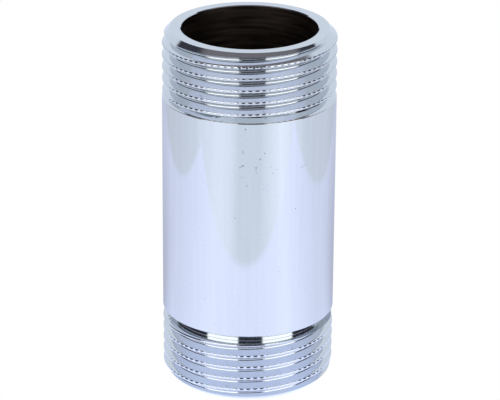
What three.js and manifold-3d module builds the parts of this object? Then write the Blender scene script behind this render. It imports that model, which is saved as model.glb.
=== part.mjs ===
// G1 barrel nipple, 70 mm long: a plain round barrel with a right-hand G1 pipe thread on both ends
// and a straight bore from end to end, turned from one piece of brass tube and chrome plated.
// Millimetres, +Z along the axis, origin at the centre of the lower end face.
import * as THREE from 'three';
import * as BufferGeometryUtils from 'three/addons/utils/BufferGeometryUtils.js';
import Module from 'manifold-3d';

// Driving dimensions
const TOTAL_LENGTH = 70;
const LOWER_SECTION_LENGTH = 13.8;    // end face to the barrel's edge, run-out included
const UPPER_SECTION_LENGTH = 13.3;
const BARREL_RADIUS = 16.5;
const BORE_RADIUS = 12.9;

// G1 thread, ISO 228: 11 threads per inch, 55 degree Whitworth form, here with flat crests and roots
const PITCH = 25.4 / 11;
const THREAD_DEPTH = 0.640327 * PITCH;
const CREST_RADIUS = 16.47;
const ROOT_RADIUS = CREST_RADIUS - THREAD_DEPTH;
const FLANK_SLOPE = Math.tan(THREE.MathUtils.degToRad(27.5));
const THREAD_FLAT_WIDTH = PITCH / 6;
const LOWER_CREST_HEIGHT = 9.46;      // height of one crest at the front (-Y), lower thread
const UPPER_CREST_HEIGHT = 67.60;     // the same for the upper thread

// Lower run-out, between thread and barrel: a groove, square on the thread side, sloping on the barrel side
const GROOVE_WIDTH = 1.75;
const GROOVE_RADIUS = 14.6;
const GROOVE_SLOPE_HEIGHT = 1.1;

// Upper run-out: a narrow V relief with hardly any flat at its bottom
const RELIEF_WIDTH = 0.82;
const RELIEF_RADIUS = 15.35;
const RELIEF_SLOPE_HEIGHT = 0.80;
const RELIEF_WALL_ANGLE = THREE.MathUtils.degToRad(15);

// 45 degree end chamfers that start at the thread's root, and the small break on the bore's edges
const CHAMFER_HEIGHT = THREAD_DEPTH;
const BORE_BREAK = 0.15;

// How far the thread cutters and their limits reach past the metal, and into the run-outs
const CUTTER_REACH = 0.25;
const LIMIT_REACH = 1;
const LIMIT_BELOW_ROOT = 0.2;
const INTO_RUN_OUT = 0.01;

// Turns that each cutter makes below and above its starting height, enough to pass both limits
const LOWER_TURNS_DOWN = 5.5;
const LOWER_TURNS_UP = 1.5;
const UPPER_TURNS_DOWN = 4.5;
const UPPER_TURNS_UP = 2.5;

const MERGE_TOLERANCE = 1e-4;

// Facets round the axis, and thread cutter steps per turn; equal, so that their corners line up
const FACETS = 48;

const wasm = await Module();
wasm.setup();

function toSolid(geometry) {
  const plain = geometry.clone();
  plain.deleteAttribute('normal');
  plain.deleteAttribute('uv');
  const merged = BufferGeometryUtils.mergeVertices(plain, MERGE_TOLERANCE);
  return new wasm.Manifold(new wasm.Mesh({
    numProp: 3,
    vertProperties: new Float32Array(merged.attributes.position.array),
    triVerts: new Uint32Array(merged.index.array),
  }));
}

function toGeometry(solid) {
  const mesh = solid.getMesh();
  const geometry = new THREE.BufferGeometry();
  geometry.setAttribute('position', new THREE.BufferAttribute(mesh.vertProperties, 3));
  geometry.setIndex(new THREE.BufferAttribute(mesh.triVerts, 1));
  geometry.computeVertexNormals();
  return geometry;
}

// A ring turned about Z from a closed outline of [radius, height] points
function turnedRing(outline) {
  const points = [...outline, outline[0]].map(([radius, height]) => new THREE.Vector2(radius, height));
  return new THREE.LatheGeometry(points, FACETS).rotateX(Math.PI / 2);
}

// A right-hand helix about Z. Its frames keep a swept section exactly radial and axial.
class Helix extends THREE.Curve {
  constructor(frontHeight, turnsDown, turnsUp) {
    super();
    this.frontHeight = frontHeight;
    this.turnsDown = turnsDown;
    this.turnsUp = turnsUp;
  }

  turnAt(t) {
    return -this.turnsDown + t * (this.turnsDown + this.turnsUp);
  }

  getPoint(t, target = new THREE.Vector3()) {
    const turn = this.turnAt(t);
    const angle = 2 * Math.PI * turn - Math.PI / 2;
    return target.set(
      ROOT_RADIUS * Math.cos(angle),
      ROOT_RADIUS * Math.sin(angle),
      this.frontHeight + PITCH * turn,
    );
  }

  getPointAt(u, target) {
    return this.getPoint(u, target);
  }

  computeFrenetFrames(segments) {
    const tangents = [];
    const normals = [];
    const binormals = [];
    for (let i = 0; i <= segments; i++) {
      const angle = 2 * Math.PI * this.turnAt(i / segments) - Math.PI / 2;
      tangents.push(new THREE.Vector3(-Math.sin(angle), Math.cos(angle), 0));
      normals.push(new THREE.Vector3(Math.cos(angle), Math.sin(angle), 0));
      binormals.push(new THREE.Vector3(0, 0, -1));
    }
    return { tangents, normals, binormals };
  }
}

// The V-shaped groove of the thread as a solid, open past the crests
function threadCutter(frontHeight, turnsDown, turnsUp) {
  const reach = CREST_RADIUS + CUTTER_REACH - ROOT_RADIUS;
  const halfRoot = THREAD_FLAT_WIDTH / 2;
  const halfMouth = halfRoot + reach * FLANK_SLOPE;
  const section = new THREE.Shape([
    new THREE.Vector2(0, -halfRoot),
    new THREE.Vector2(reach, -halfMouth),
    new THREE.Vector2(reach, halfMouth),
    new THREE.Vector2(0, halfRoot),
  ]);
  return toSolid(new THREE.ExtrudeGeometry(section, {
    steps: Math.round(FACETS * (turnsDown + turnsUp)),
    extrudePath: new Helix(frontHeight, turnsDown, turnsUp),
  }));
}

// The ring of space that a thread may cut away, from inside the run-out to past the end face
function threadSpace(low, high) {
  const inside = ROOT_RADIUS - LIMIT_BELOW_ROOT;
  const outside = CREST_RADIUS + LIMIT_REACH;
  return toSolid(turnedRing([
    [inside, low],
    [outside, low],
    [outside, high],
    [inside, high],
  ]));
}

// Outline of one threaded end as [radius, distance from its end face], from the bore to the barrel's edge.
// The run-out's wall on the thread side leans towards the end face by the wall angle.
function endOutline(sectionLength, runOutWidth, runOutRadius, slopeHeight, wallAngle) {
  const wall = sectionLength - runOutWidth;
  const wallRise = (CREST_RADIUS - runOutRadius) * Math.tan(wallAngle);
  return [
    [BORE_RADIUS, BORE_BREAK],
    [BORE_RADIUS + BORE_BREAK, 0],
    [ROOT_RADIUS, 0],
    [CREST_RADIUS, CHAMFER_HEIGHT],
    [CREST_RADIUS, wall - wallRise],
    [runOutRadius, wall],
    [runOutRadius, sectionLength - slopeHeight],
    [BARREL_RADIUS, sectionLength],
  ];
}

const lowerEnd = endOutline(LOWER_SECTION_LENGTH, GROOVE_WIDTH, GROOVE_RADIUS, GROOVE_SLOPE_HEIGHT, 0);
const upperEndFromItsFace = endOutline(
  UPPER_SECTION_LENGTH,
  RELIEF_WIDTH,
  RELIEF_RADIUS,
  RELIEF_SLOPE_HEIGHT,
  RELIEF_WALL_ANGLE,
);
const upperEnd = upperEndFromItsFace
  .map(([radius, distance]) => [radius, TOTAL_LENGTH - distance])
  .reverse();
const blank = toSolid(turnedRing([...lowerEnd, ...upperEnd]));

// Each thread is cut from beyond its end face until it ends in its run-out.
// The space between two crests lies half a pitch from them.
const lowerThreadTop = LOWER_SECTION_LENGTH - GROOVE_WIDTH + INTO_RUN_OUT;
const upperThreadBottom = TOTAL_LENGTH - UPPER_SECTION_LENGTH + RELIEF_WIDTH - INTO_RUN_OUT;
const lowerThread = threadCutter(LOWER_CREST_HEIGHT + PITCH / 2, LOWER_TURNS_DOWN, LOWER_TURNS_UP)
  .intersect(threadSpace(-PITCH, lowerThreadTop));
const upperThread = threadCutter(UPPER_CREST_HEIGHT - PITCH / 2, UPPER_TURNS_DOWN, UPPER_TURNS_UP)
  .intersect(threadSpace(upperThreadBottom, TOTAL_LENGTH + PITCH));

const chrome = new THREE.MeshStandardMaterial({ color: 0xccd1d9, metalness: 1, roughness: 0.08 });
const nippleBody = new THREE.Mesh(toGeometry(blank.subtract(lowerThread).subtract(upperThread)), chrome);
nippleBody.name = 'nipple_body';

const barrelNipple = new THREE.Group();
barrelNipple.name = 'barrel_nipple';
barrelNipple.add(nippleBody);

export default barrelNipple;
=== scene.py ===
"""Looks of the G1 barrel nipple: rounded and serrated threads, chrome plate, studio table and camera.

Meshes are worked out in millimetres and scaled to metres at the end. The axis is Z, the front is -Y.
"""
import math

import bpy
from mathutils import Matrix, Vector


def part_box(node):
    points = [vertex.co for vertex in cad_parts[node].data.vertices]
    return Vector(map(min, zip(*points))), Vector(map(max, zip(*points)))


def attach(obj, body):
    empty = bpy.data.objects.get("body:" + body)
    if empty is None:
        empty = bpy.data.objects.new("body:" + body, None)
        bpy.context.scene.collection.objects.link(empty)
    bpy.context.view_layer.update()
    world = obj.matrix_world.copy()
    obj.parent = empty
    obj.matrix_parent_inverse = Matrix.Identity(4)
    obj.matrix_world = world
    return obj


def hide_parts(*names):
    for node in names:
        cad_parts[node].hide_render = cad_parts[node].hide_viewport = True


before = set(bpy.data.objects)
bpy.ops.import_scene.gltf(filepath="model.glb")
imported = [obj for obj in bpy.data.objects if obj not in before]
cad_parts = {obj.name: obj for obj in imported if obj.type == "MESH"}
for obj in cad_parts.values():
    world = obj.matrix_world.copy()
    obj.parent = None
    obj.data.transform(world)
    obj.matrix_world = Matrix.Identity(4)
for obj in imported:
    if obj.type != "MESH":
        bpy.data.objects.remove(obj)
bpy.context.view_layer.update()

NODE = "nipple_body"
MM = 0.001

# Driving dimensions, as in the CAD part
low_corner, high_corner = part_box(NODE)
LENGTH = (high_corner.z - low_corner.z) / MM
BARREL_RADIUS = (high_corner.x - low_corner.x) / 2 / MM
LOWER_SECTION = 13.8                  # end face to the barrel's edge
UPPER_SECTION = 13.3
BORE_RADIUS = 12.9
BORE_BREAK = 0.15                     # small chamfer on the bore's edges
GROOVE_WIDTH = 1.75                   # lower run-out groove, square on the thread side
GROOVE_RADIUS = 14.6
GROOVE_SLOPE_HEIGHT = 1.1
RELIEF_WIDTH = 0.82                   # upper run-out, a narrow V against the barrel
RELIEF_RADIUS = 15.35
RELIEF_SLOPE_HEIGHT = 0.80
RELIEF_WALL_ANGLE = math.radians(15)

# G1 thread: 11 threads per inch, 55 degree Whitworth form
PITCH = 25.4 / 11
FLANK_ANGLE = math.radians(27.5)
CREST_RADIUS = 16.47
THREAD_DEPTH = 0.640327 * PITCH
ROOT_RADIUS = CREST_RADIUS - THREAD_DEPTH
HALF_CREST_FLAT = PITCH / 12
ROOT_ROUNDING = 0.1373 * PITCH
LOWER_CREST = 9.46                    # height of one crest at the front, lower thread
UPPER_CREST = 67.60                   # the same for the upper thread

# Serration: rounded beads of crest with crisp axial notches between them
BEADS = 78                            # in one turn
BEAD_AZIMUTH = math.radians(0.6)      # of one bead, from the front towards +X
BEAD_HALF_WIDTH = 0.35                # as a share of the spacing
BEAD_RIM = 0.30                       # rounding of the crest's two edges on a bead
NOTCH_RIM = 0.03                      # the same in a notch
NOTCH_DEPTH = 0.12
SMOOTH_ABOVE = 10.6                   # above this height the lower thread's last turn has no notches
SMOOTH_FADE = 0.3
NEVER_SMOOTH = 2 * LENGTH             # past the nipple, so the upper thread has notches all the way

# Mesh
BEAD_STEPS = 6                        # across a bead
RIM_STEPS = 3
ROOT_STEPS = 3
CORE_SEGMENTS = 180
FILLET_STEPS = 4
FACE_ROUNDING = 0.08
GROOVE_ROUNDING = 0.1
BARREL_ROUNDING = 0.12
OUTSIDE_RADIUS = BARREL_RADIUS + 0.5  # of the blank where a thread is cut, and of the sleeve
SLEEVE_BORE = 1
ROD_REACH = 1                         # how far the rods go past the end faces
CAP_HEIGHT = 0.5                      # of the rods' pointed ends
SHARP_DEGREES = 38
NORMAL_WEIGHT = 100                   # how much large faces lead at a shared corner; 50 is neutral
EQUAL_AREA = 0.001                    # square millimetres; face areas this close count as equal

# Colours, as linear light
CHROME = (0.65, 0.68, 0.69)
PAD_COLOUR = (1.057, 1.118, 1.423)
TABLE_COLOUR = (0.868, 0.932, 1.09)
BACKGROUND = (1.0, 1.0, 1.0)

# Finish of the chrome. Sizes and places are in millimetres, and a range is of noise from 0 to 1.
GRAIN_DETAIL = 2
CLOUD_SIZE = 9                        # slow waves and haze
STREAK_SIZE = 0.9
STREAK_STRETCH = (1, 1, 0.04)         # draw marks run along the axis
FINE_SIZE = 0.35
MARK_RANGE = (0.35, 0.65)
MARK_SHADE = (0.965, 1.02)            # of the chrome's colour, from the darkest marks to the brightest
HAZE_RANGE = (0.4, 0.6)
HAZE_ROUGHNESS = (0.035, 0.085)
WAVE_HEIGHT = 0.003

# Scuffs: hairline scratches and small pits
WORN = (0.2, 0.2, 0.22)               # colour inside them
WORN_ROUGHNESS = 0.4
WORN_DEPTH = 0.01
SCUFF_PLACE = (0.5, -16.5, 47.5)      # they are commoner round this place
SCUFF_REACH = 7
SCRATCH_SIZE = 3.4                    # how widely a scratch bends
SCRATCH_LEVEL = 0.5                   # the noise level that a scratch follows
SCRATCH_SHARE = 0.014                 # its half width, as a difference in that noise
PATCH_SIZE = 1.8                      # a scratch shows only in patches
PATCH_OFFSET = (40, 7, 13)            # keeps the patches' noise apart from the other noises
PATCH_RANGE = (0.7, 0.74)
PIT_SPACING = 1.1
PIT_RADIUS = 0.2
PIT_CHANCE = 0.93                     # a cell whose random value is above this has a pit
PIT_EXTRA = 0.6                       # added to that value at the scuffs' place
PATCH_EXTRA = 0.3                     # the share of it that is added to the patches' noise
PIT_TILT_AXIS = (1, 1.7, 0.6)         # the cells are turned, so that pits don't line up with the axis
PIT_TILT = 1

# Finish of the bore
BORE_DARK = (0.07, 0.053, 0.043)
BORE_LIGHT = (0.12, 0.094, 0.076)
BORE_RANGE = (0.38, 0.62)
RING_SIZE = 0.5
RING_STRETCH = (0.06, 0.06, 1)        # boring marks run round the axis
RING_RANGE = (0.3, 0.7)
RING_ROUGHNESS = (0.3, 0.5)
RING_HEIGHT = 0.004

# Table, in metres
TABLE_RADIUS = 0.2
TABLE_SIDES = 128
TABLE_DROP = 0.00002                  # keeps the table's top off the end face
PAD_EDGES = ((-4, 0.081), (-98, 0.122), (104, 0.116))     # each edge's direction in degrees, its distance
PAD_BLUR = 0.003
NEAR_LIGHT_TINT = (0.97, 1.01, 1.09)        # painted light: share of the pad's colour close to the object, which makes its glow a little bluer there
BASE_FADE = (0.03, 0.05)              # distances between which the tint fades
BACK_SHADE = 0.7                      # share of the pad's light just behind the object, which shades it
BACK_FADE = (0.03, 0.13)

# Light round the object, by direction in degrees from the front towards +X
PAD_LEVELS = ((-180, 0.54), (-150, 0.62), (-118, 0.83), (-90, 0.89), (-42, 1.06), (-12, 1.0),
              (12, 1.0), (43, 1.08), (90, 0.88), (118, 0.84), (150, 0.62), (180, 0.54))
TABLE_LEVELS = ((-180, 0.55), (-118, 0.87), (-75, 1.0), (-42, 1.25), (-24, 1.2), (-12, 1.02),
                (13, 1.02), (42, 1.36), (75, 1.0), (118, 0.9), (180, 0.55))
BACK_SHARE = ((-180, 1), (-135, 1), (-105, 0), (105, 0), (135, 1), (180, 1))     # 1 behind the object
LEVEL_PEAK = 2.0                      # the levels' ramps hold shares of this

# The light tent. A bright side is dark, bright, bright and dark at its four directions.
DARK = (0.05, 0.052, 0.07)
LIGHT = (0.82, 0.89, 1.02)
SIDE_GLOW = (1.15, 1.15, 1.2)
LAMP = (2.3, 2.3, 2.35)               # a brighter band across both bright sides
LEFT_SIDE = (-65, -63, -15.5, -14)
RIGHT_SIDE = (22, 23.5, 71, 73)
BACK_LEFT = (-129, -125)              # from the pale back to the dark
BACK_RIGHT = (116, 120)               # and from the dark to the pale back
FAR_FLOOR = (0.8, 0.88, 1.07)         # the floor past the table, at the back and sides
NEAR_FLOOR = (0.52, 0.57, 0.68)       # the same, below the bright sides
FLOOR_RING = ((-180, FAR_FLOOR), (-78, FAR_FLOOR), (-65, NEAR_FLOOR), (-17, NEAR_FLOOR), (-14, DARK),
              (22, DARK), (25, NEAR_FLOOR), (73, NEAR_FLOOR), (86, FAR_FLOOR), (180, FAR_FLOOR))
TENT_TOP = (0.215, 0.203, 0.232)
TENT_PEAK = 4.0                       # the ring's ramps hold shares of this

# Elevations in degrees between which the tent's parts fade in
LAMP_FROM_BELOW = (10, 15)
LAMP_FROM_ABOVE = (38, 32)
TOP_FADE = (46, 54)
FLOOR_FADE = (-1, -3)

# Camera, in metres and radians, with its lens and sensor in millimetres
CAMERA_PLACE = (0, -0.46585, 0.22663)
CAMERA_PITCH = 0.390280
CAMERA_YAW = 0.000567
CAMERA_ROLL = 0.0071626
CAMERA_LENS = 189.02
SENSOR_WIDTH = 36

# Chrome reflects chrome several times between the threads' flanks
REFLECTION_BOUNCES = 16


# ---------------------------------------------------------------- mesh helpers

def new_object(name, vertices, faces):
    mesh = bpy.data.meshes.new(name)
    mesh.from_pydata([tuple(v) for v in vertices], [], faces)
    mesh.validate()
    obj = bpy.data.objects.new(name, mesh)
    bpy.context.scene.collection.objects.link(obj)
    return obj


def applied(obj):
    """A new mesh, which is the object's mesh after its modifiers."""
    depsgraph = bpy.context.evaluated_depsgraph_get()
    return bpy.data.meshes.new_from_object(obj.evaluated_get(depsgraph), depsgraph=depsgraph)


def combine(obj, other, operation):
    """obj becomes the boolean of the two, and other is removed."""
    modifier = obj.modifiers.new("boolean", "BOOLEAN")
    modifier.operation = operation
    modifier.solver = "MANIFOLD"
    modifier.object = other
    mesh = applied(obj)
    obj.modifiers.clear()
    obj.data = mesh
    bpy.data.objects.remove(other)
    return obj


def turned(name, outline, segments):
    """A closed solid turned about Z from a closed outline of (radius, height) points, counter-clockwise
    as seen with the radius to the right and the height up."""
    count = len(outline)
    vertices = []
    for j in range(segments):
        angle = 2 * math.pi * j / segments
        for radius, height in outline:
            vertices.append((radius * math.cos(angle), radius * math.sin(angle), height))
    faces = []
    for j in range(segments):
        here = j * count
        there = (j + 1) % segments * count
        for i in range(count):
            k = (i + 1) % count
            faces.append((here + i, there + i, there + k, here + k))
    return new_object(name, vertices, faces)


def fillet(before, corner, after, radius):
    """Points of an arc that rounds a corner of an outline."""
    corner = Vector(corner)
    back = (Vector(before) - corner).normalized()
    ahead = (Vector(after) - corner).normalized()
    half = back.angle(ahead) / 2
    reach = radius / math.tan(half)
    centre = corner + (back + ahead).normalized() * (radius / math.sin(half))
    start = corner + back * reach - centre
    end = corner + ahead * reach - centre
    turn = start.angle_signed(end)
    points = []
    for i in range(FILLET_STEPS + 1):
        arm = start.copy()
        arm.rotate(Matrix.Rotation(-turn * i / FILLET_STEPS, 2))
        points.append(tuple(centre + arm))
    return points


def rounded_outline(corners):
    """The outline with each (radius, height, rounding) corner rounded."""
    points = []
    count = len(corners)
    for i, (radius, height, rounding) in enumerate(corners):
        before = corners[i - 1][:2]
        after = corners[(i + 1) % count][:2]
        if rounding:
            points += fillet(before, (radius, height), after, rounding)
        else:
            points.append((radius, height))
    return points


# ---------------------------------------------------------------- the nipple

def smoothstep(low, high, value):
    t = min(max((value - low) / (high - low), 0), 1)
    return t * t * (3 - 2 * t)


def half_thread(depth, rim):
    """The thread's section from a crest to the root above it, as (radius, height above the crest) points.
    The crest is cut down by depth, and rim is the rounding of its edge."""
    top = CREST_RADIUS - depth
    corner = HALF_CREST_FLAT + depth * math.tan(FLANK_ANGLE)
    points = [(top, 0)]
    # The rim turns from straight up to the flank's direction
    turn = math.pi / 2 - FLANK_ANGLE
    start = corner - rim * math.tan(turn / 2)
    for i in range(RIM_STEPS + 1):
        angle = turn * i / RIM_STEPS
        points.append((top - rim * (1 - math.cos(angle)), start + rim * math.sin(angle)))
    for i in range(ROOT_STEPS + 1):
        angle = turn * (1 - i / ROOT_STEPS)
        points.append((ROOT_RADIUS + ROOT_ROUNDING * (1 - math.cos(angle)),
                       PITCH / 2 - ROOT_ROUNDING * math.sin(angle)))
    return points


def bead_columns():
    """The columns of vertices in one turn, as (place, arch) pairs. The place counts beads round the turn,
    and the arch is 0 at a bead's two edges and 1 on its top."""
    columns = []
    for bead in range(BEADS):
        for i in range(BEAD_STEPS + 1):
            angle = math.pi * (i / BEAD_STEPS - 0.5)
            columns.append((bead + BEAD_HALF_WIDTH * math.sin(angle), math.sqrt(abs(math.cos(angle)))))
    return columns


def rod_faces(columns, rows, shift):
    """The faces of a rod made of columns of vertices, whose last column meets the first one shift rows up.
    The two vertices after the columns are the rod's tips, the lower one first."""
    faces = []
    last = (columns - 1) * rows
    end = rows - 1
    for here in range(0, last, rows):
        there = here + rows
        for i in range(end):
            faces.append((here + i, there + i, there + i + 1, here + i + 1))
    for i in range(end - shift):
        faces.append((last + i, i + shift, i + shift + 1, last + i + 1))

    # Each end is closed by a fan from its tip
    starts = range(0, last + 1, rows)
    bottom_loop = list(starts) + list(range(shift, 0, -1))
    top_loop = [start + end for start in starts] + [last + end - i for i in range(1, shift + 1)]
    bottom = columns * rows
    top = bottom + 1
    for here, there in zip(bottom_loop, bottom_loop[1:] + bottom_loop[:1]):
        faces.append((bottom, there, here))
    for here, there in zip(top_loop, top_loop[1:] + top_loop[:1]):
        faces.append((top, here, there))
    return faces


def thread_rod(name, front_crest, low, high, smooth_above):
    """A closed rod with the serrated right-hand thread, which reaches past low and high.

    Its rows of vertices follow the helix, so the last column meets the first one a pitch higher."""
    columns = bead_columns()
    shift = 2 * (len(half_thread(0, 0)) - 1)             # rows in one pitch, from root to root
    first_turn = math.floor((low - front_crest) / PITCH) - 1
    turns = math.ceil((high - low) / PITCH) + 2
    vertices = []
    for place, arch in columns:
        azimuth = 2 * math.pi * place / BEADS + BEAD_AZIMUTH
        for turn in range(turns):
            crest = front_crest + PITCH * (first_turn + turn + azimuth / (2 * math.pi))
            smooth = smoothstep(smooth_above - SMOOTH_FADE, smooth_above + SMOOTH_FADE, crest)
            notch = (1 - arch) * (1 - smooth)
            half = half_thread(NOTCH_DEPTH * notch, BEAD_RIM + (NOTCH_RIM - BEAD_RIM) * notch)
            section = [(radius, -height) for radius, height in reversed(half)] + half[1:]
            # A section ends where the next one starts
            for radius, height in section if turn == turns - 1 else section[:-1]:
                vertices.append((radius * math.sin(azimuth), -radius * math.cos(azimuth), crest + height))
    lowest = vertices[0][2]
    highest = vertices[-1][2]
    vertices += [(0, 0, lowest - CAP_HEIGHT), (0, 0, highest + CAP_HEIGHT)]
    return new_object(name, vertices, rod_faces(len(columns), turns * shift + 1, shift))


def end_corners(section_length, run_out_width, run_out_radius, slope_height, wall_angle, rounding):
    """One threaded end as (radius, distance from the end face, rounding) corners, bore to barrel.
    The thread itself is cut by the rods, so the outline passes outside it."""
    wall = section_length - run_out_width
    wall_rise = (OUTSIDE_RADIUS - run_out_radius) * math.tan(wall_angle)
    return [
        (BORE_RADIUS, BORE_BREAK, 0),
        (BORE_RADIUS + BORE_BREAK, 0, 0),
        (ROOT_RADIUS, 0, FACE_ROUNDING),
        (OUTSIDE_RADIUS, OUTSIDE_RADIUS - ROOT_RADIUS, 0),
        (OUTSIDE_RADIUS, wall - wall_rise, 0),
        (run_out_radius, wall, rounding),
        (run_out_radius, section_length - slope_height, rounding),
        (BARREL_RADIUS, section_length, BARREL_ROUNDING),
    ]


def nipple():
    """The whole nipple, as the turned blank where it lies inside the threaded rods and a plain sleeve."""
    lower = end_corners(LOWER_SECTION, GROOVE_WIDTH, GROOVE_RADIUS, GROOVE_SLOPE_HEIGHT, 0, GROOVE_ROUNDING)
    upper = end_corners(UPPER_SECTION, RELIEF_WIDTH, RELIEF_RADIUS, RELIEF_SLOPE_HEIGHT, RELIEF_WALL_ANGLE, 0)
    upper = [(radius, LENGTH - distance, rounding) for radius, distance, rounding in reversed(upper)]
    core = turned("core", rounded_outline(lower + upper), CORE_SEGMENTS)

    # The rods end inside the run-outs, where they are wider than the blank
    lower_end = LOWER_SECTION - (GROOVE_WIDTH + GROOVE_SLOPE_HEIGHT) / 2
    upper_end = LENGTH - UPPER_SECTION + (RELIEF_WIDTH + RELIEF_SLOPE_HEIGHT) / 2
    sleeve = turned("sleeve", [
        (SLEEVE_BORE, lower_end),
        (OUTSIDE_RADIUS, lower_end),
        (OUTSIDE_RADIUS, upper_end),
        (SLEEVE_BORE, upper_end),
    ], CORE_SEGMENTS)
    lower_rod = thread_rod("lower_rod", LOWER_CREST, -ROD_REACH, lower_end, SMOOTH_ABOVE)
    upper_rod = thread_rod("upper_rod", UPPER_CREST, upper_end, LENGTH + ROD_REACH, NEVER_SMOOTH)
    combine(sleeve, lower_rod, "UNION")
    combine(sleeve, upper_rod, "UNION")
    piece = combine(core, sleeve, "INTERSECT")
    piece.name = "nipple"
    return piece


def finish_mesh(piece, chrome, bore):
    """Smooth shading, crisp edges, the bore's own material inside it, and the change to metres."""
    mesh = piece.data
    mesh.materials.clear()
    mesh.materials.append(chrome)
    mesh.materials.append(bore)
    # Only the bore's wall lies within this radius, and not the chamfers on its edges
    inside = BORE_RADIUS + BORE_BREAK / 4
    for polygon in mesh.polygons:
        polygon.use_smooth = True
        polygon.material_index = 1 if math.hypot(polygon.center.x, polygon.center.y) < inside else 0
    mesh.set_sharp_from_angle(angle=math.radians(SHARP_DEGREES))

    # Large faces keep their own normals, so that flat and straight surfaces reflect as such
    modifier = piece.modifiers.new("normals", "WEIGHTED_NORMAL")
    modifier.mode = "FACE_AREA"
    modifier.weight = NORMAL_WEIGHT
    modifier.thresh = EQUAL_AREA
    modifier.keep_sharp = True
    piece.data = applied(piece)
    piece.data.name = "nipple"
    piece.modifiers.clear()
    piece.data.transform(Matrix.Scale(MM, 4))


# ---------------------------------------------------------------- shader helpers

def shader_tree(owner):
    """Empties the owner's node tree, and gives a function that adds a node with its settings and inputs.
    An input goes by its name, or by n and its index where names repeat, and its value may be a number,
    a colour or another node's output."""
    owner.use_nodes = True
    tree = owner.node_tree
    tree.nodes.clear()

    def add(kind, settings=None, **inputs):
        node = tree.nodes.new("ShaderNode" + kind)
        for key, value in (settings or {}).items():
            setattr(node, key, value)
        for key, value in inputs.items():
            by_index = key[0] == "n" and key[1:].isdigit()
            socket = node.inputs[int(key[1:])] if by_index else node.inputs[key.replace("_", " ")]
            if isinstance(value, bpy.types.NodeSocket):
                tree.links.new(value, socket)
            else:
                socket.default_value = value
        return node

    return add


def math_node(add, operation, first, second=0.0):
    return add("Math", {"operation": operation}, n0=first, n1=second).outputs[0]


def vector_node(add, operation, first, second):
    return add("VectorMath", {"operation": operation}, n0=first, n1=second).outputs[0]


def scaled(add, vector, factor):
    return add("VectorMath", {"operation": "SCALE"}, n0=vector, Scale=factor).outputs[0]


def mean(add, first, second):
    return math_node(add, "MULTIPLY", math_node(add, "ADD", first, second), 0.5)


def mix(add, share, first, second):
    """A colour that is the first where the share is 0, and the second where it is 1."""
    return add("Mix", {"data_type": "RGBA"}, n0=share, n6=first, n7=second).outputs[2]


def remap(add, value, low, high, to_low=0.0, to_high=1.0):
    """The value moved from one range to another, and kept inside it."""
    return add("MapRange", Value=value, From_Min=low, From_Max=high, To_Min=to_low, To_Max=to_high).outputs[0]


def fade(add, value, low, high):
    """0 up to low, 1 from high on, and a smooth step between them."""
    smooth = {"interpolation_type": "SMOOTHSTEP"}
    return add("MapRange", smooth, Value=value, From_Min=low, From_Max=high).outputs[0]


def millimetres(add):
    """The place on the object, in millimetres."""
    return scaled(add, add("TexCoord").outputs["Object"], 1 / MM)


def grain(add, place, size, stretch=(1, 1, 1)):
    """Noise from 0 to 1 with features of a size, drawn out along an axis where the stretch is below 1."""
    vector = vector_node(add, "MULTIPLY", place, stretch)
    return add("TexNoise", Vector=vector, Scale=1 / size, Detail=GRAIN_DETAIL).outputs[0]


# ---------------------------------------------------------------- materials

def scratches(add, place, extra):
    """A mask of short lengths of the level lines of a smooth noise."""
    level = math_node(add, "SUBTRACT", grain(add, place, SCRATCH_SIZE), SCRATCH_LEVEL)
    line = remap(add, math_node(add, "ABSOLUTE", level), SCRATCH_SHARE, 0)
    patch_noise = grain(add, vector_node(add, "ADD", place, PATCH_OFFSET), PATCH_SIZE)
    patch = math_node(add, "ADD", patch_noise, math_node(add, "MULTIPLY", extra, PATCH_EXTRA))
    return math_node(add, "MULTIPLY", line, remap(add, patch, *PATCH_RANGE))


def pits(add, place, extra):
    """A mask of small round pits, in a few of the cells that fill space at random."""
    tilted = add("VectorRotate", Vector=place, Axis=PIT_TILT_AXIS, Angle=PIT_TILT).outputs[0]
    cells = add("TexVoronoi", Vector=tilted, Scale=1 / PIT_SPACING)
    chance = math_node(add, "ADD", cells.outputs["Color"], extra)
    disc = remap(add, cells.outputs["Distance"], PIT_RADIUS / PIT_SPACING, 0)
    return math_node(add, "MULTIPLY", disc, math_node(add, "GREATER_THAN", chance, PIT_CHANCE))


def scuffs(add, place):
    """A mask of the few scratches and pits, which gather round one place on the barrel."""
    away = add("VectorMath", {"operation": "DISTANCE"}, n0=place, n1=SCUFF_PLACE).outputs["Value"]
    extra = remap(add, away, SCUFF_REACH, 0, 0, PIT_EXTRA)
    return math_node(add, "MAXIMUM", scratches(add, place, extra), pits(add, place, extra))


def metal(add, colour, roughness, normal):
    """Ends a material as bare metal with the colour, roughness and surface normal that are given."""
    shader = add("BsdfPrincipled", Base_Color=colour, Metallic=1, Roughness=roughness, Normal=normal)
    add("OutputMaterial", Surface=shader.outputs["BSDF"])


def chrome_plate():
    """Bright chrome, slightly wavy, with faint draw marks along the axis and a few scuffs."""
    material = bpy.data.materials.new("chrome_plate")
    add = shader_tree(material)
    place = millimetres(add)
    cloud = grain(add, place, CLOUD_SIZE)
    marks = mean(add, grain(add, place, STREAK_SIZE, STREAK_STRETCH), grain(add, place, FINE_SIZE))
    worn = scuffs(add, place)
    bright = scaled(add, CHROME, remap(add, marks, *MARK_RANGE, *MARK_SHADE))
    colour = mix(add, worn, bright, (*WORN, 1))
    haze = remap(add, mean(add, cloud, marks), *HAZE_RANGE, *HAZE_ROUGHNESS)
    roughness = remap(add, worn, 0, 1, haze, WORN_ROUGHNESS)
    wave = add("Bump", Strength=1, Distance=WAVE_HEIGHT * MM, Height=cloud).outputs[0]
    relief = add("Bump", {"invert": True}, Strength=1, Distance=WORN_DEPTH * MM, Height=worn, Normal=wave)
    metal(add, colour, roughness, relief.outputs[0])
    return material


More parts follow.
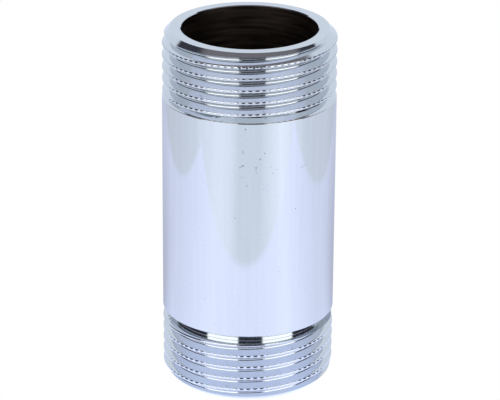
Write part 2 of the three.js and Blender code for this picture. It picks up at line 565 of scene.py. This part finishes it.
def bore_finish():
    """Dull dark metal with the fine rings that boring leaves."""
    material = bpy.data.materials.new("bore_finish")
    add = shader_tree(material)
    place = millimetres(add)
    rings = grain(add, place, RING_SIZE, RING_STRETCH)
    share = remap(add, mean(add, rings, grain(add, place, CLOUD_SIZE)), *BORE_RANGE)
    colour = mix(add, share, (*BORE_DARK, 1), (*BORE_LIGHT, 1))
    roughness = remap(add, rings, *RING_RANGE, *RING_ROUGHNESS)
    relief = add("Bump", Strength=1, Distance=RING_HEIGHT * MM, Height=rings)
    metal(add, colour, roughness, relief.outputs[0])
    return material


# ---------------------------------------------------------------- table, surroundings and camera

def turn_share(add, vector):
    """The direction of a vector round Z as 0 to 1, from the back over -X, the front and +X to the back."""
    split = add("SeparateXYZ", Vector=vector)
    to_front = math_node(add, "MULTIPLY", split.outputs["Y"], -1)
    azimuth = math_node(add, "ARCTAN2", split.outputs["X"], to_front)
    return remap(add, azimuth, -math.pi, math.pi)


def ring_ramp(add, share, stops):
    """The colour at a share of the turn, from (degrees, colour) stops."""
    ramp = add("ValToRGB", Fac=share)
    elements = ramp.color_ramp.elements
    elements.remove(elements[-1])
    for i, (degrees, colour) in enumerate(stops):
        place = (degrees + 180) / 360
        element = elements[0] if i == 0 else elements.new(place)
        element.position = place
        element.color = (*colour, 1)
    return ramp.outputs["Color"]


def level_ring(add, share, levels):
    """The light level at a share of the turn, from (degrees, level) stops."""
    stops = [(degrees, [level / LEVEL_PEAK] * 3) for degrees, level in levels]
    return math_node(add, "MULTIPLY", ring_ramp(add, share, stops), LEVEL_PEAK)


def light_ring(add, share, lights):
    """The tent's light at a share of the turn, from (degrees, light) stops."""
    stops = [(degrees, [c / TENT_PEAK for c in light]) for degrees, light in lights]
    return scaled(add, ring_ramp(add, share, stops), TENT_PEAK)


def tent_stops(side):
    """The tent's light by direction: pale at the back, then dark on each side, then a bright side, and dark
    again at the front."""
    stops = [(-180, LIGHT), (BACK_LEFT[0], LIGHT), (BACK_LEFT[1], DARK)]
    for dark_before, bright_from, bright_to, dark_after in (LEFT_SIDE, RIGHT_SIDE):
        stops += [(dark_before, DARK), (bright_from, side), (bright_to, side), (dark_after, DARK)]
    return stops + [(BACK_RIGHT[0], DARK), (BACK_RIGHT[1], LIGHT), (180, LIGHT)]


def reflected(add, colour):
    """The colour in reflections, and the plain background where the camera looks straight at it."""
    seen = add("LightPath").outputs["Is Camera Ray"]
    return mix(add, seen, colour, (*BACKGROUND, 1))


def pad_mask(add, place):
    """1 on the pad, and 0 past any of its edges."""
    mask = 1
    for degrees, distance in PAD_EDGES:
        edge = math.radians(degrees)
        outward = (math.sin(edge), -math.cos(edge), 0)
        reach = add("VectorMath", {"operation": "DOT_PRODUCT"}, n0=place, n1=outward).outputs["Value"]
        within = fade(add, reach, distance + PAD_BLUR, distance - PAD_BLUR)
        mask = math_node(add, "MULTIPLY", mask, within)
    return mask


def pad_light(add, place, share):
    """The pad's light by direction, tinted close to the object and shaded behind it."""
    distance = add("VectorMath", {"operation": "LENGTH"}, n0=place).outputs["Value"]
    # Painted light: the pad's glow turns a little bluer close to the object
    tint = mix(add, fade(add, distance, *BASE_FADE), (*NEAR_LIGHT_TINT, 1), (1, 1, 1, 1))
    shade = remap(add, distance, *BACK_FADE, BACK_SHADE, 1)
    shaded = add("Mix", n0=level_ring(add, share, BACK_SHARE), n2=1, n3=shade).outputs[0]
    level = math_node(add, "MULTIPLY", level_ring(add, share, PAD_LEVELS), shaded)
    return vector_node(add, "MULTIPLY", scaled(add, PAD_COLOUR, level), tint)


def table():
    """A round table that glows: a pad near the object, and a duller table past the pad's edges."""
    bpy.ops.mesh.primitive_circle_add(vertices=TABLE_SIDES, radius=TABLE_RADIUS, fill_type="NGON")
    disc = bpy.context.object
    disc.name = "table"
    disc.location.z = -TABLE_DROP
    material = bpy.data.materials.new("table")
    add = shader_tree(material)
    place = add("TexCoord").outputs["Object"]
    share = turn_share(add, place)
    table_light = scaled(add, TABLE_COLOUR, level_ring(add, share, TABLE_LEVELS))
    colour = mix(add, pad_mask(add, place), table_light, pad_light(add, place, share))
    glow = add("Emission", Color=reflected(add, colour), Strength=1)
    add("OutputMaterial", Surface=glow.outputs[0])
    disc.data.materials.append(material)


def heights(elevations):
    """The Z of a direction at each elevation, given in degrees."""
    return [math.sin(math.radians(degrees)) for degrees in elevations]


def surroundings():
    """A light tent: a ring of light by direction, with a lamp in each of its two bright sides, a dark top
    over it, and below the horizon a dimmer floor that goes on past the table."""
    world = bpy.data.worlds.new("tent")
    bpy.context.scene.world = world
    add = shader_tree(world)
    direction = add("TexCoord").outputs["Generated"]
    share = turn_share(add, direction)
    height = add("SeparateXYZ", Vector=direction).outputs["Z"]
    above = remap(add, height, *heights(LAMP_FROM_BELOW))
    below = remap(add, height, *heights(LAMP_FROM_ABOVE))
    lit = math_node(add, "MULTIPLY", above, below)
    glow_ring = light_ring(add, share, tent_stops(SIDE_GLOW))
    lamp_ring = light_ring(add, share, tent_stops(LAMP))
    ring = mix(add, lit, glow_ring, lamp_ring)
    tent = mix(add, fade(add, height, *heights(TOP_FADE)), ring, (*TENT_TOP, 1))
    colour = mix(add, fade(add, height, *heights(FLOOR_FADE)), tent, light_ring(add, share, FLOOR_RING))
    back = add("Background", Color=reflected(add, colour), Strength=1)
    add("OutputWorld", Surface=back.outputs[0])


def place_camera():
    scene = bpy.context.scene
    data = bpy.data.cameras.new("camera")
    data.lens = CAMERA_LENS
    data.sensor_width = SENSOR_WIDTH
    camera = bpy.data.objects.new("camera", data)
    scene.collection.objects.link(camera)
    forward = Vector((
        math.sin(CAMERA_YAW) * math.cos(CAMERA_PITCH),
        math.cos(CAMERA_YAW) * math.cos(CAMERA_PITCH),
        -math.sin(CAMERA_PITCH),
    ))
    right = forward.cross(Vector((0, 0, 1))).normalized()
    up = right.cross(forward)
    aim = Matrix((right, up, -forward)).transposed().to_4x4()
    camera.matrix_world = Matrix.Translation(CAMERA_PLACE) @ aim @ Matrix.Rotation(CAMERA_ROLL, 4, "Z")
    scene.camera = camera


scene = bpy.context.scene
scene.view_settings.view_transform = "Standard"
scene.cycles.glossy_bounces = REFLECTION_BOUNCES
scene.cycles.max_bounces = REFLECTION_BOUNCES

place_camera()
table()
surroundings()
piece = nipple()
finish_mesh(piece, chrome_plate(), bore_finish())
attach(piece, "root")
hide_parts(NODE)
